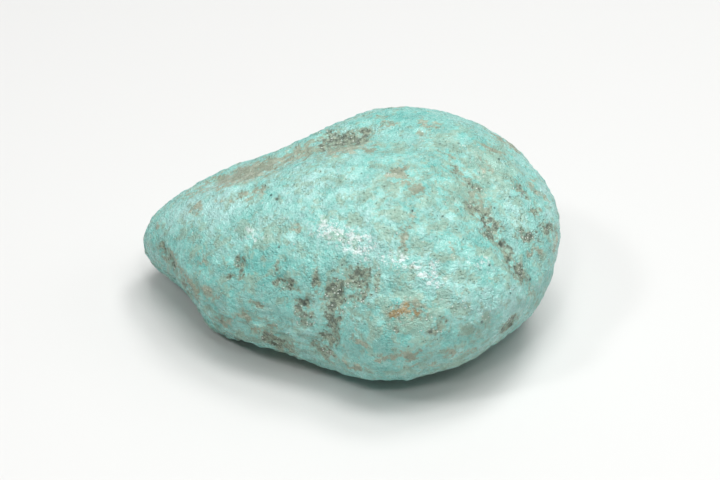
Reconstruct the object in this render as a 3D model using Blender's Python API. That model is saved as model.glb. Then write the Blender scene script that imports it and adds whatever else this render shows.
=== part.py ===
"""A raw turquoise nugget: one water-worn lump of stone, lying on a worn flat.

Metres, +Z up. The stone points its narrow nose to -X and its broad butt to +X. It stands on z = 0,
and the origin is under the middle of its box. Run it with blender --background --python part.py.

The stone starts as a round pebble, three half axes long, wide and high. Lumps and hollows are then
pressed out of it and into it, as a sculptor would: each is a place on the pebble, given as a longitude
and a latitude in degrees, how far it reaches, and how far it stands out or sinks in.
Longitude 0 is the butt, 90 the back, 180 the nose and 270 the front. Latitude 90 is straight up.
"""

import math

import bmesh
import bpy
from mathutils import Vector

MM = 0.001

# The pebble, in millimetres: half its length, half its width from front to back, half its height.
HALF_LENGTH = 34.5
HALF_WIDTH = 29.0
HALF_HEIGHT = 20.0
SUBDIVISIONS = 5  # of the ball that the pebble is made from: 5120 triangles

# The underside is worn down to a level this far above the pebble's lowest point, and rounds off
# into it over WEAR_ROUNDING. The flat that the stone lies on is cut just above that level.
WEAR_DEPTH = 4.0
WEAR_ROUNDING = 1.2
FLAT_DEPTH = 0.35

# Lumps, standing out, and hollows, sinking in: longitude, latitude, reach in degrees, height in mm.
LUMPS = {
    "nose": (180, -3, 17, 3.0),
    "back_left": (129, 33, 32, -7.5),
    "back_left_bump": (141, 33, 14, 1.7),
    "under_nose": (202, -14, 19, -3.8),
    "left_flank": (240, -38, 21, -4.6),
    "left_foot": (219, -27, 12, 1.3),
    "far_rim": (80, 44, 20, 0.9),
    "back_right": (38, 32, 30, 2.1),
    "crown": (285, 42, 24, 1.5),
    "front_hollow": (268, 22, 13, -0.6),
    "shoulder": (312, 10, 19, 1.9),
    "belly": (290, -22, 24, 1.9),
    "right_lobe": (357, 15, 18, 1.1),
    "right_foot": (338, -22, 12, 1.0),
}

# Grooves follow a line of places on the pebble: the places, half width in degrees, depth in mm.
GROOVES = {
    "saddle": (((172, 45), (185, 62), (113, 82), (40, 80)), 11, 1.8),
    "right_groove": (((350, 56), (338, 48), (332, 38), (330, 26), (331, 14)), 9, 1.4),
    "front_valley": (((271, 32), (266, 15), (262, -2), (260, -12)), 9, 0.9),
}

# The nose end then leans away: it is pushed straight back from a point in front of the stone and above it,
# measured from the pebble's middle. Along the length the push grows from nothing to full, quickly beside
# the belly and slowly up on the stone. It fades out just above the flat, and towards the back.
PUSHED_FROM = (0, -283, 198)
PUSH = 9.0
PUSH_GROWS_LOW = (9.0, -14.0)
PUSH_GROWS_HIGH = (32.0, -30.0)
LOW_TO_HIGH = (15.0, 29.0)
PUSH_FULL_ABOVE = 8.0
PUSH_FADES_BACK = (36.0, 0.0)

TURQUOISE = (0.23, 0.58, 0.52, 1.0)
ROUGHNESS = 0.55


def place(longitude, latitude):
    """The unit direction of a longitude and a latitude, in degrees."""
    lon, lat = math.radians(longitude), math.radians(latitude)
    return Vector((math.cos(lat) * math.cos(lon), math.cos(lat) * math.sin(lon), math.sin(lat)))


def fall_off(angle, reach):
    """1 in the middle of a lump, falling smoothly to almost 0 at about twice its reach."""
    return math.exp(-((angle / reach) ** 2))


def angle_to_line(direction, line):
    """The smallest angle in degrees between a direction and a line of directions."""
    best = 180.0
    for start, end in zip(line, line[1:]):
        run = end - start
        along = max(0.0, min(1.0, (direction - start).dot(run) / run.length_squared))
        nearest = (start + run * along).normalized()
        best = min(best, math.degrees(direction.angle(nearest)))
    return best


def height_at(direction):
    """How far the stone stands out from the pebble in this direction, in millimetres."""
    height = 0.0
    for longitude, latitude, reach, stands_out in LUMPS.values():
        angle = math.degrees(direction.angle(place(longitude, latitude)))
        height += stands_out * fall_off(angle, reach)
    for places, half_width, depth in GROOVES.values():
        line = [place(*each) for each in places]
        height -= depth * fall_off(angle_to_line(direction, line), half_width)
    return height


def smooth_step(value, start, end):
    """0 at start, 1 at end and smooth between; end may be the smaller one."""
    share = max(0.0, min(1.0, (value - start) / (end - start)))
    return share * share * (3.0 - 2.0 * share)


def pushed(point):
    """A point of the stone after its nose end is pushed away, in millimetres about the pebble's middle."""
    above_flat = point.z + HALF_HEIGHT - WEAR_DEPTH
    high = smooth_step(above_flat, *LOW_TO_HIGH)
    share = smooth_step(point.x, *PUSH_GROWS_LOW) * (1 - high) + smooth_step(point.x, *PUSH_GROWS_HIGH) * high
    share *= max(0.0, min(1.0, above_flat / PUSH_FULL_ABOVE))
    share *= smooth_step(point.y, *PUSH_FADES_BACK)
    return point + (point - Vector(PUSHED_FROM)).normalized() * PUSH * share


def worn_height(height):
    """A height about the pebble's middle after wear: unchanged high up, and level at the underside."""
    level = WEAR_DEPTH - HALF_HEIGHT
    return level + WEAR_ROUNDING * math.log1p(math.exp((height - level) / WEAR_ROUNDING))


def surface_point(direction):
    """The point of the stone for a point of the unit ball, in millimetres about the pebble's middle."""
    half_axes = Vector((HALF_LENGTH, HALF_WIDTH, HALF_HEIGHT))
    on_pebble = direction * half_axes
    outwards = Vector(direction[i] / half_axes[i] for i in range(3)).normalized()
    point = pushed(on_pebble + outwards * height_at(direction))
    point.z = worn_height(point.z)
    return point


def rough_stone():
    """The stone before its flat is cut, as a bmesh in metres."""
    mesh = bmesh.new()
    bmesh.ops.create_icosphere(mesh, subdivisions=SUBDIVISIONS, radius=1.0)
    for vertex in mesh.verts:
        vertex.co = surface_point(vertex.co.normalized()) * MM
    return mesh


def cut_flat(mesh):
    """Cuts the flat that the stone lies on, and closes it with one flat face."""
    level = (WEAR_DEPTH - HALF_HEIGHT + FLAT_DEPTH) * MM
    everything = mesh.verts[:] + mesh.edges[:] + mesh.faces[:]
    cut = bmesh.ops.bisect_plane(
        mesh, geom=everything, dist=1e-7, plane_co=(0, 0, level), plane_no=(0, 0, 1), clear_inner=True
    )
    rim = [edge for edge in cut["geom_cut"] if isinstance(edge, bmesh.types.BMEdge)]
    bmesh.ops.contextual_create(mesh, geom=rim)


def centre_on_flat(mesh):
    """Moves the stone so that it stands on z = 0 with the origin under the middle of its box."""
    low = Vector(min(vertex.co[i] for vertex in mesh.verts) for i in range(3))
    high = Vector(max(vertex.co[i] for vertex in mesh.verts) for i in range(3))
    middle = (low + high) / 2
    bmesh.ops.translate(mesh, verts=mesh.verts, vec=(-middle.x, -middle.y, -low.z))


def turquoise():
    material = bpy.data.materials.new("turquoise")
    material.use_nodes = True
    shader = material.node_tree.nodes["Principled BSDF"]
    shader.inputs["Base Color"].default_value = TURQUOISE
    shader.inputs["Roughness"].default_value = ROUGHNESS
    return material


def make_nugget():
    """The whole stone as one named object."""
    mesh = rough_stone()
    cut_flat(mesh)
    centre_on_flat(mesh)
    bmesh.ops.recalc_face_normals(mesh, faces=mesh.faces)
    data = bpy.data.meshes.new("nugget")
    mesh.to_mesh(data)
    mesh.free()
    data.shade_smooth()
    data.materials.append(turquoise())
    nugget = bpy.data.objects.new("nugget", data)
    bpy.context.scene.collection.objects.link(nugget)
    return nugget


def clear_scene():
    for thing in list(bpy.data.objects):
        bpy.data.objects.remove(thing)


def main():
    clear_scene()
    make_nugget()


main()
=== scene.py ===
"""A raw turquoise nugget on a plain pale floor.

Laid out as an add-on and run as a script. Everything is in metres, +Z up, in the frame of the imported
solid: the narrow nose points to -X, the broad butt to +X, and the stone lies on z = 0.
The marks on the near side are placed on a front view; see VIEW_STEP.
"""

import math
from random import Random

import bpy
import numpy as np
from mathutils import Matrix, Vector, noise


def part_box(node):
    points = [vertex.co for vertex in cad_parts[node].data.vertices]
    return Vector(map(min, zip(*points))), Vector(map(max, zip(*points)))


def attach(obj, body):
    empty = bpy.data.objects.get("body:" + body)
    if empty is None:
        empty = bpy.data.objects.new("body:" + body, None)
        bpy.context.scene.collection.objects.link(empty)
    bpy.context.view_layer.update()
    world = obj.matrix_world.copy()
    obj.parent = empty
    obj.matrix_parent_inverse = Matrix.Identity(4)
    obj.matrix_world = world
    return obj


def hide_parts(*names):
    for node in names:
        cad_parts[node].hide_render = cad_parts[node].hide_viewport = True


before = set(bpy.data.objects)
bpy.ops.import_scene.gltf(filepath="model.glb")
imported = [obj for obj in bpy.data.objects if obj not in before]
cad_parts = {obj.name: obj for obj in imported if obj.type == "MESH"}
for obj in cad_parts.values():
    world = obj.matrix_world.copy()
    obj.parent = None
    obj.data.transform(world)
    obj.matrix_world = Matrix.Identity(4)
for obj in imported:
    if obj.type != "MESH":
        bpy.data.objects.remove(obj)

bl_info = {
    "name": "Raw turquoise nugget",
    "version": (1, 0, 0),
    "blender": (4, 5, 0),
    "location": "View3D > Sidebar > Nugget",
    "description": "Makes the surface and finish of a raw turquoise nugget, and a stage to show it on",
    "category": "Add Mesh",
}

MM = 0.001
STONE_LOW, STONE_HIGH = (Vector(corner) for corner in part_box("nugget"))
STONE_MIDDLE = (STONE_LOW + STONE_HIGH) / 2

# The front view, from which the marks below are placed. It looks along +Y and down. The lens and the
# sensor are in millimetres, as a camera gives them.
VIEW_ELEVATION = math.radians(35.0)
VIEW_DISTANCE = 0.345
VIEW_LENS = 100.1
VIEW_SENSOR = 36.0
# The camera draws nothing nearer than this.
VIEW_NEAREST = 0.01
# How far the line of sight passes to the right of the stone's middle and below it.
VIEW_RIGHT_OF_MIDDLE = 2.01 * MM
VIEW_BELOW_MIDDLE = 0.71 * MM
# The marks are placed on that view as a frame of so many columns and rows, counted from its top left.
# VIEW_STEP is the real length that one column or row covers at the stone's middle.
VIEW_COLUMNS = 720
VIEW_ROWS = 480
VIEW_STEP = VIEW_DISTANCE * VIEW_SENSOR / VIEW_LENS / VIEW_COLUMNS

# Marks on the near side, a table for each kind. Each mark is the column and the row of its middle, half its
# length and half its width in columns, its tilt in degrees anticlockwise, and its strength. At full
# strength a mark is solid; weaker ones break up.
# Matrix is coarse grey-brown host rock, worn a little deeper than the turquoise. Sunk is a shallow hollow.
# Brown is a flush stain. Olive is a pale greenish cloud. Crystals are clusters of white quartz grains, and
# some are white grains painted as glints.
# Polish is a shinier patch with a white lace painted on it: partly real gloss, partly a painted highlight of
# the softboxes' glare. Pale and deep are broad paler and deeper drifts of the turquoise, partly painted light
# and painted shade that make the stone paler or darker than the softboxes light it.
MATRIX = (
    (334, 300, 16, 8, 88, 1.1), (332, 322, 10, 5.5, 90, 1.0), (328, 339, 11, 6, 15, 0.95),
    (326, 352, 9, 4, -60, 0.6), (360, 281, 15, 13, 20, 0.68), (358, 296, 10, 6, 0, 0.55),
    (302, 303, 10, 5.5, -5, 0.6), (306, 316, 9, 7, -50, 0.5), (289, 286, 9, 5.5, -30, 0.7),
    (277, 283, 5, 5, 0, 0.7), (278, 268, 9, 3, 80, 0.6), (317, 280, 9, 3.5, 85, 0.6),
    (317, 292, 5, 4, 0, 0.6), (240, 263, 6, 4.5, 0, 0.75), (241, 276, 6, 3.5, 90, 0.5),
    (228, 276, 6, 2.5, 5, 0.6), (486, 221, 8, 5, -45, 0.8), (494, 231, 10, 7.5, -45, 0.9),
    (505, 244, 7, 3.5, -65, 0.9), (512, 259, 10, 6, -60, 0.7), (522, 273, 10, 6, -50, 0.85),
    (531, 290, 6, 5, -40, 0.5), (472, 188, 8, 7, -60, 0.5), (476, 205, 12, 5, -85, 0.55),
    (461, 173, 12, 5, -25, 0.45), (527, 235, 10, 4.5, -25, 0.8), (548, 230, 8, 6, -20, 0.75),
    (442, 323, 7, 4.5, 10, 0.7), (437, 332, 5, 4, -40, 0.75), (396, 332, 5, 3, 60, 0.45),
    (507, 328, 11, 4.5, 50, 0.9), (164, 250, 8, 4, -60, 0.8), (172, 263, 9, 2, -62, 0.65),
    (185, 283, 10, 1.4, -57, 0.6), (197, 297, 8, 1.4, -48, 0.55), (412, 266, 5, 3.5, 10, 0.55),
    (335, 138, 15, 8, -15, 0.95), (322, 148, 10, 5, 20, 0.7), (357, 136, 13, 7, 15, 0.95),
    (521, 190, 9, 3.5, -50, 0.8), (535, 211, 5, 4, -60, 0.7), (554, 270, 12, 3, 85, 0.6),
    (277, 341, 12, 3.5, -20, 0.95),
)
SUNK = (
    (278, 152, 22, 8, 25, 1.2), (425, 376, 30, 8, 5, 0.7), (174, 266, 12, 1.8, -60, 0.4),
    (188, 284, 12, 1.8, -55, 0.6), (204, 302, 8, 2, -45, 0.6), (262, 306, 9, 2, -18, 0.7),
    (478, 208, 16, 6, -65, 0.6), (496, 236, 14, 6, -50, 0.9), (512, 262, 14, 6, -60, 1.0),
    (529, 286, 12, 6, -50, 0.9), (330, 338, 16, 7, 80, 0.8), (302, 303, 9, 5, -10, 0.6),
    (335, 300, 12, 7, 85, 0.6), (284, 284, 9, 5, -30, 0.6), (337, 138, 18, 7, 0, 1.0),
    (250, 172, 26, 7, 16, 0.6), (240, 266, 6, 4, 0, 0.6), (393, 171, 6, 5, 0, 0.5),
    (270, 322, 16, 6, -20, 0.5),
)
BROWN = (
    (326, 354, 9, 4.5, -60, 0.85), (176, 262, 14, 2.8, -60, 0.9), (191, 283, 13, 2.5, -55, 0.9),
    (165, 258, 8, 1.6, -60, 0.7), (228, 276, 5, 2, 0, 0.7), (478, 205, 14, 9, -75, 0.75),
    (464, 180, 12, 7, -60, 0.6), (243, 174, 34, 8, 14, 1.0), (200, 190, 16, 5, 25, 0.6),
    (343, 147, 24, 8, 5, 0.8), (308, 151, 22, 6, 14, 0.9), (236, 176, 16, 4, 10, 0.9),
    (247, 169, 20, 7, 15, 1.1), (272, 161, 20, 6, 20, 1.0), (294, 151, 18, 6, 26, 0.9),
    (316, 151, 18, 3, 5, 0.55), (343, 149, 20, 4.5, 3, 1.0), (370, 150, 8, 4, 45, 0.8),
    (361, 129, 10, 5, 0, 0.6), (253, 194, 14, 4, 15, 0.65), (228, 201, 17, 2.5, 12, 0.55),
    (197, 208, 6, 4, 40, 0.8), (161, 223, 5, 5, 0, 0.55), (210, 292, 9, 3, -15, 0.75),
    (259, 305, 9, 2.5, -18, 0.8), (245, 316, 13, 3.5, -8, 0.65), (224, 320, 9, 5, -8, 0.7),
    (270, 325, 9, 5, -20, 0.4), (260, 331, 9, 4, -12, 0.75), (276, 340, 12, 4, -20, 1.0),
    (288, 349, 12, 2, -28, 0.8), (286, 346, 8, 3.5, -35, 0.8), (292, 328, 4, 4, -50, 0.55),
    (343, 360, 8, 3, -20, 0.7), (357, 366, 8, 3, -8, 0.7), (385, 359, 9, 3.5, 3, 0.75),
    (410, 357, 9, 4.5, 6, 0.85), (408, 367, 7, 1.8, 3, 0.9), (434, 367, 5, 2.5, 5, 0.65),
    (450, 354, 5, 4, 20, 0.6), (469, 351, 9, 3, 15, 0.65), (398, 173, 9, 7, 10, 0.9),
    (486, 166, 11, 7, -40, 0.45), (404, 182, 5, 4, 0, 0.6), (419, 190, 8, 4.5, 0, 0.85),
    (415, 214, 6, 5, 30, 0.6), (403, 238, 5, 9, 0, 0.8), (294, 228, 6, 3.5, 10, 0.9),
    (513, 147, 8, 4, -58, 0.9), (500, 139, 10, 3, -35, 0.7), (494, 149, 13, 2, -25, 0.7),
    (448, 156, 5, 3.5, -10, 0.75), (531, 184, 6, 5, 0, 0.5), (541, 195, 9, 3, -35, 0.7),
    (555, 243, 12, 3, 85, 0.7), (535, 250, 9, 6, 0, 0.55), (377, 117, 10, 3, 5, 0.55),
    (388, 124, 7, 4, 0, 0.55), (420, 120, 6, 2.5, 0, 0.7), (433, 126, 10, 3, -8, 0.65),
    (420, 132, 5, 4, -30, 0.55), (407, 310, 13, 7, 0, 1.0), (457, 292, 3, 4, 0, 0.7),
    (451, 249, 3.5, 6, 0, 0.7), (353, 335, 4, 3, 0, 0.6), (361, 342, 7, 2.5, -5, 0.6),
    (195, 300, 12, 2.5, -35, 0.55), (205, 262, 5, 4, 0, 0.4),
)
OLIVE = (
    # (470, 358) greys the lower edge of the belly. Together with the pale mark at the same place, it paints
    # the light thrown up from the floor.
    (470, 358, 34, 5, 22, 0.55), (420, 371, 30, 4, 4, 0.45), (425, 190, 55, 45, 0, 0.28),
    (440, 150, 28, 18, -20, 0.35), (490, 175, 30, 16, -60, 0.35), (470, 195, 22, 14, -70, 0.85),
    (335, 181, 9, 6, 0, 0.6), (317, 182, 4, 2.5, 0, 0.8), (333, 213, 5, 3, -35, 0.9),
    (326, 221, 5, 3.5, 10, 0.9), (340, 203, 3, 5, 0, 0.7), (283, 219, 7, 5, 0, 0.6),
    (269, 221, 6, 5, 0, 0.6), (244, 226, 9, 7, 0, 0.85), (181, 217, 6, 5, 0, 0.7),
    (270, 234, 7, 6, 0, 0.8), (259, 243, 5, 5, 0, 0.8), (248, 252, 4, 5, 0, 0.8),
    (335, 236, 7, 4.5, 0, 0.9), (353, 240, 7, 8, 0, 0.6), (386, 235, 6, 6, 0, 0.8),
    (420, 246, 8, 6, 0, 0.7), (446, 256, 8, 3, 0, 0.65), (399, 148, 9, 4.5, 0, 0.75),
    (441, 141, 12, 8, 0, 0.8), (364, 196, 10, 4, 0, 0.6), (354, 221, 8, 4, -15, 0.6),
    (453, 206, 9, 6, 0, 0.75), (424, 202, 10, 3.5, 0, 0.7), (398, 214, 9, 5, 0, 0.7),
    (454, 193, 8, 7, 0, 0.6), (494, 260, 14, 5, -25, 0.7), (487, 165, 18, 14, -40, 1.1),
    (502, 150, 12, 6, -40, 0.6), (455, 150, 10, 5, -20, 0.5), (445, 175, 12, 6, -30, 0.5),
    (511, 166, 10, 9, 0, 0.5), (409, 323, 15, 8, 5, 0.95), (389, 316, 6, 9, 0, 0.75),
    (409, 295, 12, 7, 0, 0.8), (444, 297, 5, 8, 0, 0.8), (435, 312, 6, 4.5, 0, 0.9),
    (380, 304, 8, 6, 0, 0.85), (411, 275, 6, 5, 0, 0.65), (461, 278, 5, 4, 0, 0.8),
    (374, 328, 8, 7, 0, 0.6), (463, 309, 8, 6, 0, 0.8), (487, 320, 9, 7, 0, 0.6),
    (468, 330, 8, 6, 0, 0.6), (215, 240, 10, 8, 0, 0.3), (200, 225, 9, 8, 0, 0.3),
    (197, 250, 12, 10, -40, 0.5), (420, 342, 16, 6, 5, 0.5), (350, 320, 9, 9, 0, 0.35),
    (300, 250, 10, 6, 0, 0.35), (466, 131, 10, 4, -10, 0.6), (467, 215, 12, 4, 0, 0.6),
    (505, 185, 12, 2.5, 5, 0.8), (330, 160, 16, 4, 8, 0.5), (300, 175, 12, 5, 8, 0.4),
    (520, 215, 10, 8, 0, 0.45), (540, 255, 8, 9, 0, 0.3), (470, 270, 10, 5, -20, 0.3),
)
RUST = (
    (402, 312, 7, 3, -5, 1.0), (409, 308, 3, 2.5, 0, 1.0), (415, 311, 4, 2.5, -20, 0.7),
)
CRYSTALS_AND_GLINTS = (
    (358, 298, 9, 5, 0, 0.9), (357, 290, 11, 6, 0, 0.6), (302, 309, 8, 4, -10, 0.8),
    (306, 318, 7, 6, 0, 0.7), (333, 294, 5, 5, 0, 0.8), (326, 339, 8, 4, 0, 0.8),
    (241, 217, 4, 3, 30, 0.8), (196, 236, 6, 4, 0, 0.7), (247, 281, 6, 2.5, 10, 0.7),
    (417, 326, 8, 4, -10, 0.8), (428, 322, 3, 4, 0, 1.0), (463, 308, 6, 6, 0, 1.0),
    (487, 318, 8, 7, 0, 0.6), (438, 335, 5, 3.5, -30, 0.7), (492, 230, 7, 7, 0, 0.8),
    (468, 201, 6, 4, 0, 0.7), (452, 205, 7, 4, 0, 0.6), (393, 171, 3.5, 8, -35, 1.0),
    (465, 149, 7, 4, -30, 0.7), (474, 157, 7, 4, 0, 0.6), (478, 173, 5, 3, 0, 0.7),
    (524, 267, 8, 4, -40, 0.6), (531, 290, 5, 5, 0, 0.7), (393, 303, 5, 3, -40, 0.9),
    (530, 236, 5, 3, 0, 0.6), (395, 318, 8, 5, 0, 0.6), (385, 360, 6, 3, 0, 0.5),
    # From (345, 240) to (434, 277), along the crown's ridge, the marks are painted glints: white grains where
    # the glare of the softboxes falls.
    (328, 354, 7, 3, -50, 0.5), (336, 140, 6, 5, 0, 0.5), (345, 240, 20, 6, -12, 0.75),
    (330, 232, 12, 7, -5, 0.6), (357, 249, 10, 5, -20, 0.7), (400, 260, 14, 5, -25, 0.75),
    (415, 267, 12, 5, -25, 0.7), (434, 277, 5, 5, 0, 1.0), (352, 285, 10, 8, 0, 0.5),
    (441, 297, 5, 6, 0, 0.4), (470, 330, 7, 4, 0, 0.6), (200, 285, 4, 2, 0, 0.5),
    (421, 131, 4, 3, 0, 0.6),
)
# Polished patches: shinier, and with a painted highlight laid on them as a white lace where the glare of the
# softboxes falls.
GLOSS_AND_GLARE = (
    (345, 238, 22, 9, -20, 1.0), (325, 226, 14, 6, -25, 0.7), (360, 250, 12, 6, -35, 0.7),
    (402, 261, 16, 6, -25, 0.9), (434, 277, 8, 8, 0, 1.0), (420, 270, 12, 5, -25, 0.7),
    (478, 262, 14, 6, -30, 0.4), (250, 235, 16, 8, -20, 0.4),
)
PALE_TONE_AND_PAINTED_LIGHT = (
    (205, 205, 34, 14, 20, 1.0), (262, 166, 36, 9, 18, 0.6), (340, 165, 30, 13, 10, 0.6),
    # (490, 302) is painted light on the lower right of the front.
    (490, 302, 38, 20, -20, 0.7), (300, 325, 30, 13, -15, 0.5), (530, 180, 22, 12, -60, 0.4),
    (345, 190, 30, 22, 0, 0.35), (512, 205, 18, 12, -60, 0.5), (500, 170, 30, 8, -55, 0.3),
    # (470, 358) is a pale rim painted along the lower edge of the belly: painted light thrown up from the
    # floor.
    (470, 358, 34, 6, 22, 0.5),
)
DEEP_TONE_AND_PAINTED_SHADE = (
    (262, 264, 38, 24, 0, 0.8), (438, 146, 30, 20, -20, 0.4), (185, 240, 26, 14, -15, 0.3),
    (408, 205, 32, 28, 60, 0.4), (445, 258, 26, 14, -20, 0.4), (338, 222, 20, 14, -30, 0.35),
    (478, 176, 22, 11, -60, 0.6), (395, 312, 28, 14, 0, 0.4),
)
# Each pore is its column, its row and its radius in columns. A pore is painted shade only: a near-black spot
# in the colour for a pit too small for the mesh. Pores are drawn wider than they look, or the points of the
# surface would miss the small ones.
PORE_WIDENING = 1.4
PORES = (
    (384, 186, 1.6), (412, 212, 1.8), (443, 216, 1.5), (385, 252, 1.4), (279, 247, 1.6),
    (499, 159, 1.8), (504, 242, 2.0), (532, 279, 1.9), (489, 265, 1.8), (482, 322, 1.8),
    (265, 186, 1.5), (271, 195, 1.8), (277, 199, 2.2), (510, 293, 1.3), (440, 143, 1.7),
    (459, 143, 1.6), (366, 157, 1.0), (303, 305, 2.4), (289, 285, 1.6), (408, 346, 1.4),
    (437, 216, 1.0), (505, 210, 1.3), (510, 197, 1.5), (494, 208, 1.3), (358, 264, 1.5),
    (342, 265, 1.3), (225, 212, 1.0), (240, 214, 1.0), (452, 176, 1.0),
)
KINDS = {
    "matrix": MATRIX,
    "sunk": SUNK,
    "brown": BROWN,
    "olive": OLIVE,
    "rust": RUST,
    "crystals_and_glints": CRYSTALS_AND_GLINTS,
    "gloss_and_glare": GLOSS_AND_GLARE,
    "pale": PALE_TONE_AND_PAINTED_LIGHT,
    "deep": DEEP_TONE_AND_PAINTED_SHADE,
}
# Marks scattered over the far side: how many of each kind, and their least and greatest half length in
# millimetres. They lie where the surface faces away from the front view, or towards it by no more than the
# cosine FAR_SIDE_FACING. Width is a share of length.
FAR_SIDE = {
    "matrix": (26, 0.7, 2.4),
    "sunk": (5, 1.5, 4.0),
    "brown": (34, 0.7, 2.6),
    "olive": (40, 0.7, 2.4),
    "rust": (2, 0.6, 1.4),
    "crystals_and_glints": (26, 0.5, 1.6),
    "gloss_and_glare": (6, 1.5, 4.0),
    "pale": (8, 4.0, 9.0),
    "deep": (8, 4.0, 9.0),
}
FAR_SIDE_SEED = 11
FAR_SIDE_FACING = 0.05
FAR_SIDE_WIDTHS = (0.35, 0.8)
FAR_SIDE_STRENGTHS = (0.55, 1.0)

# A mark reaches MARK_DEPTH times its greater half size into the stone, and fades outwards at MARK_FADE. The
# places where its field is read wander by WANDER_REACH, in waves of WANDER_SIZE, and its outline with them.
MARK_DEPTH = 1.5
MARK_FADE = 0.6
WANDER_SIZE = 2.2 * MM
WANDER_REACH = 0.7 * MM
WANDER_SHIFTS = (3.1, 5.3, 7.7)

# Where the stone faces this way, up and towards the front view and the softboxes, its colour is painted
# palest: a painted sheen. The second number is the cosine at which the painted sheen starts.
PAINTED_SHEEN_SIDE = Vector((-0.15, -0.45, 0.88)).normalized()
PAINTED_SHEEN_FROM = 0.82

# The relief starts this far above the flat that the stone lies on, and is full at the second height.
RELIEF_STARTS = 0.3 * MM
RELIEF_FULL = 1.5 * MM
# Water wear at three sizes: the size of the lumps, and their height from lowest to highest, in millimetres.
WEAR = ((8.0, 0.8), (2.6, 0.7), (1.0, 0.5))
# The host rock's field at which the wear of the rock starts, and at which it is full.
ROCK_FROM = 0.3
ROCK_FULL = 0.8
CRUMB_SIZE = 0.9 * MM
CRUMB_RELIEF = 0.3 * MM

# Bedding: layers a millimetre or so thick, in low relief at the foot of the nose end. They bend up and
# down a little. Each FOOT pair is the place where the foot is nothing and the place where it is full:
# heights, places along X and, for the relief alone, places along Y.
LAYER_THICKNESS = 1.0 * MM
LAYER_STRETCH = (0.22, 0.22, 1.0)
LAYER_RELIEF = 1.2 * MM
LAYER_BEND_SIZE = 7 * MM
LAYER_BEND = 2.5 * MM
FOOT_UPWARDS = (18 * MM, 10 * MM)
FOOT_TO_BUTT = (4 * MM, -12 * MM)
FOOT_TO_BACK = (12 * MM, -4 * MM)

# Sizes of the patterns in the finish. SKIN_HEIGHT is the height that the bump stands for.
COARSE_EDGE_SIZE = 1.4 * MM
FINE_EDGE_SIZE = 0.55 * MM
DRIFT_SIZE = 7.0 * MM
MOTTLE_SIZE = 1.6 * MM
GRAIN_SIZE = 0.45 * MM
CLOUD_SIZE = 2.2 * MM
FLECK_SIZE = 1.0 * MM
HOST_CRUMB_SIZE = 0.8 * MM
QUARTZ_SIZE = 0.42 * MM
SPECK_SIZE = 0.33 * MM
LACE_SIZE = 0.9 * MM
GLOSS_SIZE = 2.5 * MM
SKIN_SIZE = 0.42 * MM
SKIN_HEIGHT = 0.1 * MM
TURQUOISE_IOR = 1.61
BASE_ROUGHNESS = 0.32

# The spread of Blender's noise at this roughness for so many octaves, by which a noise is divided to make
# it 1.
NOISE_ROUGHNESS = 0.7
NOISE_SPREAD = {1: 0.123, 3: 0.075}
# noise_at moves its noise by the shift times this.
NOISE_SHIFT = (1.0, 1.7, 2.3)

MERGE_DISTANCE = 0.001 * MM
WEIGHT_STEPS = 50  # a vertex group is written in so many steps
NODE_WIDTH = 180  # how far apart the nodes stand in the node editor
# Blender's numbers for the sockets of a Mix node that are for colours.
MIX_AMOUNT, MIX_FIRST, MIX_SECOND, MIX_RESULT = 0, 6, 7, 2

# The floor is a square with sides of this length.
FLOOR_SIZE = 6.0
FLOOR_ROUGHNESS = 0.8
FLOOR_SPECULAR = 0.2

# The softboxes: azimuth and elevation in degrees, distance and size in metres, and share of the light.
SOFTBOXES = {
    "softbox_right": (340, 70, 0.8, 0.30, 0.19),
    "softbox_front": (255, 75, 0.8, 0.35, 0.15),
    "softbox_back": (45, 66, 0.8, 0.25, 0.22),
    "softbox_top": (0, 90, 0.8, 0.30, 0.21),
    "strip_left": (208, 50, 0.8, 0.12, 0.12),
    "strip_middle": (254, 50, 0.8, 0.10, 0.08),
    "strip_right": (284, 51, 0.8, 0.10, 0.08),
    "card_right": (5, 40, 0.8, 0.4, 0.07),
    "card_back": (90, 38, 0.9, 0.8, 0.08),
}


# ---------------------------------------------------------------- settings

def colour(name, description, default):
    """A setting that is a colour."""
    return bpy.props.FloatVectorProperty(
        name=name, description=description, default=default, subtype="COLOR", size=4, min=0.0, max=1.0
    )


def length(name, description, default):
    """A setting that is a length."""
    return bpy.props.FloatProperty(
        name=name, description=description, default=default, unit="LENGTH", min=0.0, precision=5
    )


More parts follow.
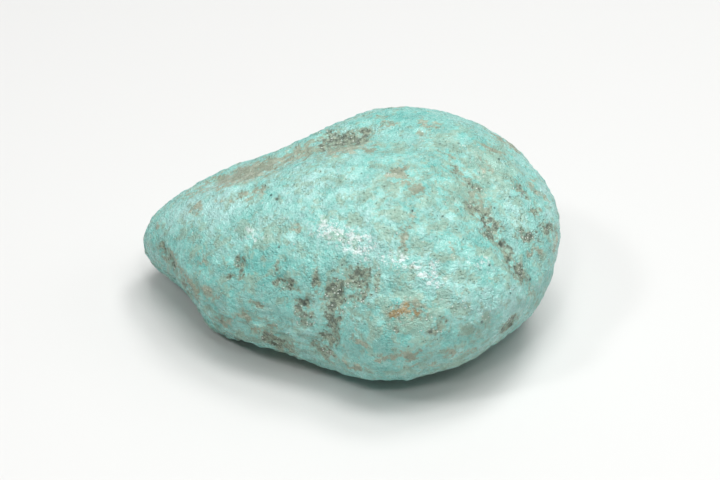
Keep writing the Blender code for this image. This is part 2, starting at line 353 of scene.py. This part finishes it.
class NuggetSettings(bpy.types.PropertyGroup):
    """Sizes and colours of the stone."""

    point_spacing: length("Point spacing", "Distance between the points of the finished surface", 0.37 * MM)
    matrix_depth: length("Matrix depth", "How far the host rock is worn below the turquoise", 0.3 * MM)
    hollow_depth: length("Hollow depth", "How deep the shallow hollows are", 0.7 * MM)
    deep: colour("Deep turquoise", "The most saturated turquoise", (0.165, 0.535, 0.480, 1))
    middle: colour("Middle turquoise", "Most of the turquoise", (0.290, 0.630, 0.565, 1))
    # Also the colour that the painted sheen gives the faces towards the softboxes.
    pale: colour("Pale turquoise", "Weathered, chalky turquoise", (0.440, 0.735, 0.690, 1))
    olive: colour("Olive cloud", "Greenish impure turquoise", (0.320, 0.500, 0.395, 1))
    brown: colour("Brown stain", "Iron stain on the skin", (0.315, 0.365, 0.270, 1))
    beige: colour("Beige streaks", "The palest streaks in the brown stain", (0.445, 0.505, 0.390, 1))
    matrix_dark: colour("Dark matrix", "The darkest host rock", (0.130, 0.155, 0.120, 1))
    matrix_light: colour("Light matrix", "The lightest host rock", (0.350, 0.425, 0.315, 1))
    rust: colour("Rust", "The rust spot", (0.370, 0.225, 0.060, 1))
    # Also the white of the grains painted as glints on the crown's ridge.
    quartz: colour("Quartz", "White sugar grains", (0.780, 0.860, 0.785, 1))
    # Painted highlight: the white of the lace painted on the polished patches as glare.
    painted_glare: colour("Painted glare", "White lace painted as the glare of the softboxes", (0.760, 0.870, 0.850, 1))
    fleck: colour("Fleck", "Grey-green flecks in the turquoise", (0.275, 0.415, 0.320, 1))
    speck: colour("Speck", "Dark teal specks", (0.060, 0.190, 0.160, 1))
    # Painted shade: the near-black of a pit that the surface has no hollow for.
    pore: colour("Pore", "The bottom of a pore", (0.015, 0.030, 0.025, 1))


class StageSettings(bpy.types.PropertyGroup):
    """The floor, the light and the camera."""

    floor: colour("Floor", "The pale floor", (0.700, 0.700, 0.690, 1))
    light: bpy.props.FloatProperty(
        name="Light", description="Power of all the softboxes together", default=8.2, unit="POWER", min=0.0
    )
    sky: bpy.props.FloatProperty(
        name="Surroundings", description="Strength of the white surroundings", default=0.13, min=0.0
    )


# ---------------------------------------------------------------- the front view

def view_axes():
    """Right, up and towards the eye, as the front view sees them."""
    right = Vector((1.0, 0.0, 0.0))
    back = Vector((0.0, -math.cos(VIEW_ELEVATION), math.sin(VIEW_ELEVATION)))
    return right, back.cross(right), back


def view_target():
    """The point that the front view looks at."""
    right, up, _ = view_axes()
    return STONE_MIDDLE + right * VIEW_RIGHT_OF_MIDDLE - up * VIEW_BELOW_MIDDLE


def view_eye():
    """The point that the front view looks from."""
    return view_target() + view_axes()[2] * VIEW_DISTANCE


# ---------------------------------------------------------------- working on a mesh

def pick_only(piece):
    """Leaves one object selected and active, as a click would."""
    bpy.ops.object.select_all(action="DESELECT")
    piece.select_set(True)
    bpy.context.view_layer.objects.active = piece


def add_and_apply(piece, kind, **values):
    """Adds a modifier, sets it and applies it."""
    pick_only(piece)
    modifier = piece.modifiers.new(kind.title(), kind)
    for name, value in values.items():
        setattr(modifier, name, value)
    bpy.ops.object.modifier_apply(modifier=modifier.name)


def copy_of_node(node, name):
    """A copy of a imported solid, with its loose triangles merged."""
    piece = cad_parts[node].copy()
    piece.data = piece.data.copy()
    piece.name = piece.data.name = name
    piece.parent = None
    bpy.context.scene.collection.objects.link(piece)
    pick_only(piece)
    bpy.ops.object.mode_set(mode="EDIT")
    bpy.ops.mesh.select_all(action="SELECT")
    bpy.ops.mesh.remove_doubles(threshold=MERGE_DISTANCE)
    bpy.ops.object.mode_set(mode="OBJECT")
    return piece


def points_of(piece):
    """The places of a piece's points, one in each row."""
    points = np.empty(len(piece.data.vertices) * 3)
    piece.data.vertices.foreach_get("co", points)
    return points.reshape(-1, 3)


def smooth_step(values, low, high):
    """0 at low and before it, 1 at high and beyond, and smooth between. High may be less than low."""
    share = np.clip((values - low) / (high - low), 0.0, 1.0)
    return share * share * (3.0 - 2.0 * share)


def noise_at(points, size, octaves, shift):
    """Fractal noise of about -1 to 1, with lumps of about this size in metres."""
    offset = Vector(shift * share for share in NOISE_SHIFT)
    return np.array([noise.fractal(Vector(p) / size + offset, 1.0, 2.0, octaves) for p in points])


def vertex_group(piece, name, weights):
    """A vertex group with these weights, which a modifier can be limited by."""
    group = piece.vertex_groups.new(name=name)
    steps = np.round(np.clip(weights, 0.0, 1.0) * WEIGHT_STEPS).astype(int)
    for step in range(1, WEIGHT_STEPS + 1):
        group.add(np.flatnonzero(steps == step).tolist(), step / WEIGHT_STEPS, "REPLACE")
    return group.name


def attribute(piece, name, values):
    """A number for each point, which the material reads."""
    layer = piece.data.attributes.new(name, "FLOAT", "POINT")
    layer.data.foreach_set("value", values.astype(np.float32))


def cloud_texture(name, size, detail):
    """Soft noise for a Displace modifier, with lumps of about this size in metres."""
    texture = bpy.data.textures.new(name, "CLOUDS")
    texture.noise_basis = "IMPROVED_PERLIN"
    texture.noise_scale = size
    texture.noise_depth = detail
    return texture


# ---------------------------------------------------------------- marks

def near_mark(stone, column, row, half_length, half_width, tilt, strength):
    """A mark of the front view as an ellipsoid about its place on the stone."""
    right, up, back = view_axes()
    across = (column - VIEW_COLUMNS / 2) * VIEW_STEP
    rise = (VIEW_ROWS / 2 - row) * VIEW_STEP
    aim = view_target() + right * across + up * rise
    hit, middle, _, _ = stone.ray_cast(view_eye(), (aim - view_eye()).normalized())
    if not hit:
        _, middle, _, _ = stone.closest_point_on_mesh(aim)
    turn = math.radians(tilt)
    along = right * math.cos(turn) + up * math.sin(turn)
    over = up * math.cos(turn) - right * math.sin(turn)
    half_length *= VIEW_STEP
    half_width *= VIEW_STEP
    depth = MARK_DEPTH * max(half_length, half_width)
    rows = [along / half_length, over / half_width, back / depth]
    return np.array(middle), np.array(rows), strength


def far_marks(stone, count, least, most, random):
    """Marks scattered over the side of the stone that the front view doesn't see."""
    back = view_axes()[2]
    marks = []
    while len(marks) < count:
        direction = Vector(random.gauss(0.0, 1.0) for _ in range(3)).normalized()
        hit, place, normal, _ = stone.ray_cast(STONE_MIDDLE + direction, -direction)
        if not hit or normal.dot(back) > FAR_SIDE_FACING:
            continue
        along = normal.orthogonal().normalized()
        along.rotate(Matrix.Rotation(random.uniform(0.0, math.tau), 3, normal))
        over = normal.cross(along)
        half_length = random.uniform(least, most) * MM
        half_width = half_length * random.uniform(*FAR_SIDE_WIDTHS)
        rows = [along / half_length, over / half_width, normal / (MARK_DEPTH * half_length)]
        marks.append((np.array(place), np.array(rows), random.uniform(*FAR_SIDE_STRENGTHS)))
    return marks


def field_of(marks, points):
    """How deep inside a mark each point lies: its strength in the middle, falling softly to 0 outside."""
    field = np.zeros(len(points))
    for middle, rows, strength in marks:
        radius_squared = np.square((points - middle) @ rows.T).sum(axis=1)
        field = np.maximum(field, strength * np.exp(-MARK_FADE * radius_squared))
    return field


# ---------------------------------------------------------------- material

class Tree:
    """A node tree that is filled from left to right."""

    def __init__(self, tree):
        self.tree = tree
        self.column = 0

    def node(self, kind, inputs=None, **values):
        """Adds a node, sets its values, and sets or links its inputs."""
        node = self.tree.nodes.new(kind)
        node.location = (self.column * NODE_WIDTH, 0)
        self.column += 1
        for name, value in values.items():
            setattr(node, name, value)
        for name, value in (inputs or {}).items():
            if isinstance(value, bpy.types.NodeSocket):
                self.link(value, node.inputs[name])
            else:
                node.inputs[name].default_value = value
        return node

    def link(self, output, socket):
        """Joins an output to an input."""
        self.tree.links.new(output, socket)

    def math(self, operation, first, second=0.0, clamp=False):
        """One sum on two numbers or outputs."""
        node = self.node("ShaderNodeMath", {0: first, 1: second}, operation=operation, use_clamp=clamp)
        return node.outputs[0]

    def step(self, value, low, high):
        """0 below low, 1 above high, and smooth between."""
        node = self.node(
            "ShaderNodeMapRange",
            {"Value": value, "From Min": low, "From Max": high},
            interpolation_type="SMOOTHSTEP",
        )
        return node.outputs["Result"]

    def noise(self, place, size, octaves, shift):
        """Noise with lumps of about this size in metres, spread about 0 like a bell curve of width 1.

        The shift moves the pattern, so that no two patterns line up.
        """
        moved = self.node("ShaderNodeVectorMath", {0: place, 1: (shift, shift, shift)}, operation="ADD")
        values = {"Scale": 1.0 / size, "Detail": octaves - 1.0, "Roughness": NOISE_ROUGHNESS}
        cloud = self.node("ShaderNodeTexNoise", {"Vector": moved.outputs[0], **values})
        about_zero = self.math("SUBTRACT", cloud.outputs["Fac"], 0.5)
        return self.math("DIVIDE", about_zero, NOISE_SPREAD[octaves])

    def total(self, *weighted):
        """The sum of value, weight pairs."""
        result = 0.0
        for value, weight in weighted:
            result = self.math("ADD", self.math("MULTIPLY", value, weight), result)
        return result

    def blend(self, amount, first, second):
        """The first colour where the amount is 0, and the second where it is 1."""
        node = self.node("ShaderNodeMix", data_type="RGBA")
        for index, value in ((MIX_AMOUNT, amount), (MIX_FIRST, first), (MIX_SECOND, second)):
            if isinstance(value, bpy.types.NodeSocket):
                self.link(value, node.inputs[index])
            else:
                node.inputs[index].default_value = value
        return node.outputs[MIX_RESULT]


def new_group(name, inputs, outputs):
    """A shader node group with named sockets, as a Tree, with its input and output nodes."""
    group = bpy.data.node_groups.new(name, "ShaderNodeTree")
    for socket, kind in inputs.items():
        group.interface.new_socket(socket, in_out="INPUT", socket_type="NodeSocket" + kind)
    for socket, kind in outputs.items():
        group.interface.new_socket(socket, in_out="OUTPUT", socket_type="NodeSocket" + kind)
    tree = Tree(group)
    return group, tree, tree.node("NodeGroupInput").outputs, tree.node("NodeGroupOutput").inputs


def ragged_edge_group():
    """Turns the smooth field of a mark into a mask that breaks up towards its edge, and a halo round it."""
    inputs = {"Place": "Vector", "Field": "Float", "Crumble": "Float"}
    group, tree, given, result = new_group("ragged edge", inputs, {"Mask": "Float", "Halo": "Float"})
    coarse = tree.noise(given["Place"], COARSE_EDGE_SIZE, 3, 0.31)
    fine = tree.noise(given["Place"], FINE_EDGE_SIZE, 1, 0.57)
    shaking = tree.math("MULTIPLY", tree.total((coarse, 0.28), (fine, 0.12)), given["Crumble"])
    near = tree.step(given["Field"], 0.0, 0.3)
    field = tree.math("MULTIPLY", given["Field"], 1.5)
    shaken = tree.math("ADD", field, tree.math("MULTIPLY", shaking, near))
    tree.link(tree.step(shaken, 0.4, 1.1), result["Mask"])
    tree.link(tree.step(shaken, 0.1, 0.8), result["Halo"])
    return group


def turquoise_group():
    """The blue-green body colour: deep, middle and pale, in drifts, mottles and grain of every size."""
    inputs = {"Place": "Vector", "Paleness": "Float", "Deep": "Color", "Middle": "Color", "Pale": "Color"}
    group, tree, given, result = new_group("turquoise body", inputs, {"Color": "Color"})
    drift = tree.noise(given["Place"], DRIFT_SIZE, 3, 0.11)
    mottle = tree.noise(given["Place"], MOTTLE_SIZE, 3, 0.23)
    grain = tree.noise(given["Place"], GRAIN_SIZE, 3, 0.87)
    tone = tree.total((drift, 0.4), (mottle, 0.35), (grain, 0.4), (given["Paleness"], 1.0))
    body = tree.blend(tree.step(tone, -2.2, 0.6), given["Deep"], given["Middle"])
    body = tree.blend(tree.step(tone, 0.0, 2.8), body, given["Pale"])
    tree.link(body, result["Color"])
    return group


def clouds_group():
    """How much olive cloud and how many dark flecks there are at a place."""
    group, tree, given, result = new_group(
        "clouds and flecks", {"Place": "Vector", "More": "Float"}, {"Clouds": "Float", "Flecks": "Float"}
    )
    patches = tree.noise(given["Place"], CLOUD_SIZE, 3, 0.73)
    crumbs = tree.noise(given["Place"], FLECK_SIZE, 3, 0.97)
    clouds = tree.total((patches, 1.0), (crumbs, 0.3), (given["More"], 1.2))
    flecks = tree.total((patches, 0.4), (crumbs, 0.9), (given["More"], 0.9))
    tree.link(tree.step(clouds, 0.2, 2.2), result["Clouds"])
    tree.link(tree.step(flecks, 1.1, 2.6), result["Flecks"])
    return group


def host_rock_group():
    """Coarse host rock: dark and light crumbs, darker where the mask is full."""
    inputs = {"Place": "Vector", "Mask": "Float", "Dark": "Color", "Light": "Color"}
    group, tree, given, result = new_group("host rock", inputs, {"Color": "Color", "Height": "Float"})
    crumbs = tree.noise(given["Place"], HOST_CRUMB_SIZE, 3, 0.19)
    paleness = tree.total((crumbs, 1.1), (given["Mask"], -1.4))
    rock = tree.blend(tree.step(paleness, -2.8, 0.8), given["Dark"], given["Light"])
    tree.link(rock, result["Color"])
    tree.link(crumbs, result["Height"])
    return group


def grains_group():
    """Scattered round grains: a mask that is 1 in the middle of a share of the cells."""
    inputs = {"Place": "Vector", "Size": "Float", "Share": "Float"}
    group, tree, given, result = new_group("scattered grains", inputs, {"Mask": "Float"})
    per_metre = tree.math("DIVIDE", 1.0, given["Size"])
    places = {"Vector": given["Place"], "Scale": per_metre}
    cells = tree.node("ShaderNodeTexVoronoi", places, distance="MANHATTAN")
    chosen = tree.node("ShaderNodeSeparateColor", {"Color": cells.outputs["Color"]}).outputs["Red"]
    here = tree.step(tree.math("SUBTRACT", given["Share"], chosen), 0.0, 0.02)
    core = tree.step(tree.math("SUBTRACT", 0.6, cells.outputs["Distance"]), 0.0, 0.25)
    tree.link(tree.math("MULTIPLY", here, core), result["Mask"])
    return group


def turquoise_material(settings):
    """The finish of the whole stone."""
    material = bpy.data.materials.new("raw turquoise")
    material.use_nodes = True
    tree = Tree(material.node_tree)
    shader = material.node_tree.nodes["Principled BSDF"]
    place = tree.node("ShaderNodeTexCoord").outputs["Object"]
    edge, grains = ragged_edge_group(), grains_group()

    def group(tree_group, **inputs):
        return tree.node("ShaderNodeGroup", inputs, node_tree=tree_group).outputs

    def field(name):
        return tree.node("ShaderNodeAttribute", attribute_name=name).outputs["Fac"]

    def mark(name, crumble):
        return group(edge, Place=place, Field=field(name), Crumble=crumble)

    def over(below, mask, strength, above):
        """One colour laid over another where the mask is 1, and let through by its strength."""
        return tree.blend(tree.math("MULTIPLY", mask, strength), below, above)

    matrix, brown, rust = mark("matrix", 1.0), mark("brown", 1.0), mark("rust", 1.2)
    olive, crystals_and_glints = mark("olive", 1.0), mark("crystals_and_glints", 0.6)
    foot = field("foot")
    flat = tree.node("ShaderNodeVectorMath", {0: place, 1: LAYER_STRETCH}, operation="MULTIPLY").outputs[0]
    layers = tree.math("MULTIPLY", tree.step(tree.noise(flat, LAYER_THICKNESS, 3, 1.51), 0.0, 1.5), foot)
    # Paleness: a painted sheen on the faces towards the softboxes, and the pale and deep drifts, which are
    # partly painted light and painted shade.
    painted_sheen, pale, deep = (field(name) for name in ("painted_sheen", "pale", "deep"))
    paleness = tree.total((painted_sheen, 1.0), (pale, 2.2), (deep, -2.2))
    tones = {"Deep": settings.deep, "Middle": settings.middle, "Pale": settings.pale}
    stone = group(turquoise_group(), Place=place, Paleness=paleness, **tones)
    more = tree.total((olive["Halo"], 0.6), (matrix["Halo"], 0.3))
    clouds = group(clouds_group(), Place=place, More=more)
    look = over(stone["Color"], clouds["Clouds"], 0.75, settings.olive)
    look = over(look, olive["Halo"], 0.65, settings.olive)
    look = over(look, clouds["Flecks"], 0.6, settings.fleck)
    look = over(look, layers, 0.75, settings.fleck)
    look = over(look, brown["Halo"], 0.5, settings.olive)
    streaks = tree.total((tree.noise(flat, LAYER_THICKNESS, 3, 1.83), 1.0), (pale, 1.6))
    stain = tree.blend(tree.step(streaks, 0.0, 2.4), settings.brown, settings.beige)
    look = over(look, brown["Mask"], 0.95, stain)
    tones = {"Dark": settings.matrix_dark, "Light": settings.matrix_light}
    host = group(host_rock_group(), Place=place, Mask=matrix["Mask"], **tones)
    look = over(look, matrix["Halo"], 0.7, settings.fleck)
    look = over(look, matrix["Mask"], 0.9, host["Color"])
    look = over(look, rust["Halo"], 0.75, settings.brown)
    look = over(look, rust["Mask"], 0.65, settings.rust)
    # White grains: quartz, and on the crown's ridge painted glints.
    share = tree.total((crystals_and_glints["Halo"], 0.32), (matrix["Halo"], 0.13))
    white = group(grains, Place=place, Size=QUARTZ_SIZE, Share=tree.math("ADD", share, 0.02))["Mask"]
    look = over(look, white, 0.85, settings.quartz)
    gloss_and_glare = field("gloss_and_glare")
    # Painted highlight: a white lace in the colour of the polished patches, standing for the glare of the
    # softboxes.
    lace = tree.total((tree.noise(place, LACE_SIZE, 3, 1.27), 1.0), (gloss_and_glare, 1.6))
    glare_lace = tree.math("MULTIPLY", tree.step(lace, 0.5, 2.5), tree.step(gloss_and_glare, 0.0, 0.5))
    look = over(look, glare_lace, 0.8, settings.painted_glare)
    share = tree.total((clouds["Clouds"], 0.07), (clouds["Flecks"], 0.15), (1.0, 0.02))
    specks = group(grains, Place=place, Size=SPECK_SIZE, Share=share)["Mask"]
    look = over(look, specks, 0.7, settings.speck)
    # Painted shade of the pores.
    look = over(look, tree.step(field("pore"), 0.6, 1.0), 0.9, settings.pore)
    tree.link(look, shader.inputs["Base Color"])

    gloss = tree.noise(place, GLOSS_SIZE, 3, 0.67)
    dull = tree.total(
        (matrix["Mask"], 0.25),
        (clouds["Clouds"], 0.1),
        (gloss, 0.05),
        (white, -0.2),
        (gloss_and_glare, -0.1),
    )
    tree.link(tree.math("ADD", dull, BASE_ROUGHNESS, clamp=True), shader.inputs["Roughness"])

    rough_skin = tree.total((tree.step(gloss, -1.5, 1.5), 0.32), (foot, 0.12))
    grain = tree.math("MULTIPLY", tree.noise(place, SKIN_SIZE, 3, 0.43), tree.math("ADD", rough_skin, 0.21))
    height = tree.total(
        (grain, 1.0),
        (tree.math("MULTIPLY", host["Height"], matrix["Mask"]), 0.4),
        (white, 0.8),
        (specks, -1.0),
    )
    bump = tree.node("ShaderNodeBump", {"Height": height, "Distance": SKIN_HEIGHT, "Strength": 1.0})
    tree.link(bump.outputs["Normal"], shader.inputs["Normal"])
    shader.inputs["IOR"].default_value = TURQUOISE_IOR
    return material


# ---------------------------------------------------------------- operators

class OBJECT_OT_add_nugget(bpy.types.Operator):
    """Makes the turquoise nugget: its worn relief, its marks and its material"""

    bl_idname = "object.add_nugget"
    bl_label = "Add turquoise nugget"

    def execute(self, context):
        settings = context.scene.nugget
        stone = copy_of_node("nugget", "turquoise_nugget")
        add_and_apply(stone, "SUBSURF", levels=1, render_levels=1)
        add_and_apply(stone, "REMESH", mode="VOXEL", voxel_size=settings.point_spacing)
        add_and_apply(stone, "SMOOTH", factor=0.5, iterations=4)
        self.mark(stone)
        self.wear(stone, settings)
        bpy.ops.object.shade_smooth()
        stone.data.materials.clear()
        stone.data.materials.append(turquoise_material(settings))
        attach(stone, "root")
        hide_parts("nugget")
        return {"FINISHED"}

    def mark(self, stone):
        """Writes the field of each kind of mark on the stone's points."""
        points = points_of(stone)
        random = Random(FAR_SIDE_SEED)
        wander = [noise_at(points, WANDER_SIZE, 3, shift) for shift in WANDER_SHIFTS]
        wandered = points + np.array(wander).T * WANDER_REACH
        for kind, near in KINDS.items():
            marks = [near_mark(stone, *mark) for mark in near]
            marks += far_marks(stone, *FAR_SIDE[kind], random)
            attribute(stone, kind, field_of(marks, wandered))
        # Painted sheen: the stone is made paler where its surface faces the softboxes and the front view.
        facing = np.array([vertex.normal.dot(PAINTED_SHEEN_SIDE) for vertex in stone.data.vertices])
        attribute(stone, "painted_sheen", smooth_step(facing, PAINTED_SHEEN_FROM, 1.0))
        pores = []
        for column, row, radius in PORES:
            radius *= PORE_WIDENING
            pores.append(near_mark(stone, column, row, radius, radius, 0, 1.0))
        attribute(stone, "pore", field_of(pores, points))

    def wear(self, stone, settings):
        """Gives the stone its relief, all but on the flat that it lies on."""
        points = points_of(stone)
        field = np.empty(len(points))
        stone.data.attributes["matrix"].data.foreach_get("value", field)
        free = smooth_step(points[:, 2], RELIEF_STARTS, RELIEF_FULL)
        rock = smooth_step(field, ROCK_FROM, ROCK_FULL) * free
        stone.data.attributes["sunk"].data.foreach_get("value", field)
        sunk = vertex_group(stone, "hollows", field * free)
        free = vertex_group(stone, "off the flat", free)
        rock = vertex_group(stone, "host rock", rock)
        layers = self.bedding(stone, points)
        add_and_apply(stone, "DISPLACE", strength=LAYER_RELIEF, vertex_group=layers, mid_level=0.5)
        for size, depth in WEAR:
            texture = cloud_texture("wear", size * MM, 2)
            add_and_apply(
                stone, "DISPLACE", texture=texture, strength=depth * MM, vertex_group=free, mid_level=0.5
            )
        add_and_apply(stone, "DISPLACE", strength=-settings.hollow_depth, vertex_group=sunk, mid_level=0.0)
        add_and_apply(stone, "DISPLACE", strength=-settings.matrix_depth, vertex_group=rock, mid_level=0.0)
        crumbs = cloud_texture("crumbs", CRUMB_SIZE, 2)
        add_and_apply(
            stone, "DISPLACE", texture=crumbs, strength=CRUMB_RELIEF, vertex_group=rock, mid_level=0.5
        )

    def bedding(self, stone, points):
        """Writes where the foot of the nose end is, and returns the vertex group of its layers."""
        across, deep, height = points.T
        foot = smooth_step(height, *FOOT_UPWARDS) * smooth_step(across, *FOOT_TO_BUTT)
        attribute(stone, "foot", foot)
        foot *= smooth_step(deep, *FOOT_TO_BACK)
        bent = points + np.outer(noise_at(points, LAYER_BEND_SIZE, 2, 4.1), (0.0, 0.0, LAYER_BEND))
        layers = 0.5 + 0.8 * noise_at(bent * LAYER_STRETCH, LAYER_THICKNESS, 2, 9.1)
        return vertex_group(stone, "bedding", layers * foot * smooth_step(height, RELIEF_STARTS, RELIEF_FULL))


class OBJECT_OT_add_stage(bpy.types.Operator):
    """Makes the floor, the light and the camera"""

    bl_idname = "object.add_nugget_stage"
    bl_label = "Add stage"

    def execute(self, context):
        settings = context.scene.nugget_stage
        self.floor(settings)
        self.light(context, settings)
        self.camera(context)
        return {"FINISHED"}

    def floor(self, settings):
        """A plain pale floor under the stone."""
        bpy.ops.object.select_all(action="DESELECT")
        bpy.ops.mesh.primitive_plane_add(size=FLOOR_SIZE)
        floor = bpy.context.object
        floor.name = "floor"
        material = bpy.data.materials.new("pale floor")
        material.use_nodes = True
        shader = material.node_tree.nodes["Principled BSDF"]
        shader.inputs["Base Color"].default_value = settings.floor
        shader.inputs["Roughness"].default_value = FLOOR_ROUGHNESS
        shader.inputs["Specular IOR Level"].default_value = FLOOR_SPECULAR
        floor.data.materials.append(material)

    def softbox(self, name, azimuth, elevation, distance, size, power):
        """A round soft light that faces the stone."""
        turn, rise = math.radians(azimuth), math.radians(elevation)
        away = Vector((math.cos(turn) * math.cos(rise), math.sin(turn) * math.cos(rise), math.sin(rise)))
        bpy.ops.object.light_add(type="AREA", location=STONE_MIDDLE + away * distance)
        lamp = bpy.context.object
        lamp.name = name
        lamp.data.shape = "DISK"
        lamp.data.energy = power
        lamp.data.size = size
        lamp.rotation_euler = (-away).to_track_quat("-Z", "Y").to_euler()

    def light(self, context, settings):
        """The softboxes, and faint white light from all round."""
        for name, (azimuth, elevation, distance, size, share) in SOFTBOXES.items():
            self.softbox(name, azimuth, elevation, distance, size, settings.light * share)
        world = bpy.data.worlds.new("white room")
        world.use_nodes = True
        world.node_tree.nodes["Background"].inputs["Strength"].default_value = settings.sky
        world.node_tree.nodes["Background"].inputs["Color"].default_value = (1.0, 1.0, 1.0, 1.0)
        context.scene.world = world
        context.scene.view_settings.view_transform = "Standard"

    def camera(self, context):
        """The camera of the front view."""
        turn = (-view_axes()[2]).to_track_quat("-Z", "Y").to_euler()
        bpy.ops.object.camera_add(location=view_eye(), rotation=turn)
        camera = bpy.context.object
        camera.name = "camera"
        camera.data.lens = VIEW_LENS
        camera.data.sensor_width = VIEW_SENSOR
        camera.data.clip_start = VIEW_NEAREST
        context.scene.camera = camera


class VIEW3D_PT_nugget(bpy.types.Panel):
    """The sidebar panel: the settings and the button of each operator"""

    bl_label = "Turquoise nugget"
    bl_space_type = "VIEW_3D"
    bl_region_type = "UI"
    bl_category = "Nugget"

    def draw(self, context):
        for title, group, button in (
            ("Stone", context.scene.nugget, OBJECT_OT_add_nugget),
            ("Stage", context.scene.nugget_stage, OBJECT_OT_add_stage),
        ):
            box = self.layout.box()
            box.label(text=title)
            for name in group.__annotations__:
                box.prop(group, name)
            box.operator(button.bl_idname)


CLASSES = (NuggetSettings, StageSettings, OBJECT_OT_add_nugget, OBJECT_OT_add_stage, VIEW3D_PT_nugget)


def register():
    """Registers the classes and gives the scene its settings."""
    for each in CLASSES:
        bpy.utils.register_class(each)
    bpy.types.Scene.nugget = bpy.props.PointerProperty(type=NuggetSettings)
    bpy.types.Scene.nugget_stage = bpy.props.PointerProperty(type=StageSettings)


def unregister():
    """Takes back what register gave."""
    del bpy.types.Scene.nugget_stage
    del bpy.types.Scene.nugget
    for each in reversed(CLASSES):
        bpy.utils.unregister_class(each)


def main():
    """Makes the stone and the stage."""
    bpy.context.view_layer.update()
    register()
    bpy.ops.object.add_nugget()
    bpy.ops.object.add_nugget_stage()


if __name__ == "__main__":
    main()
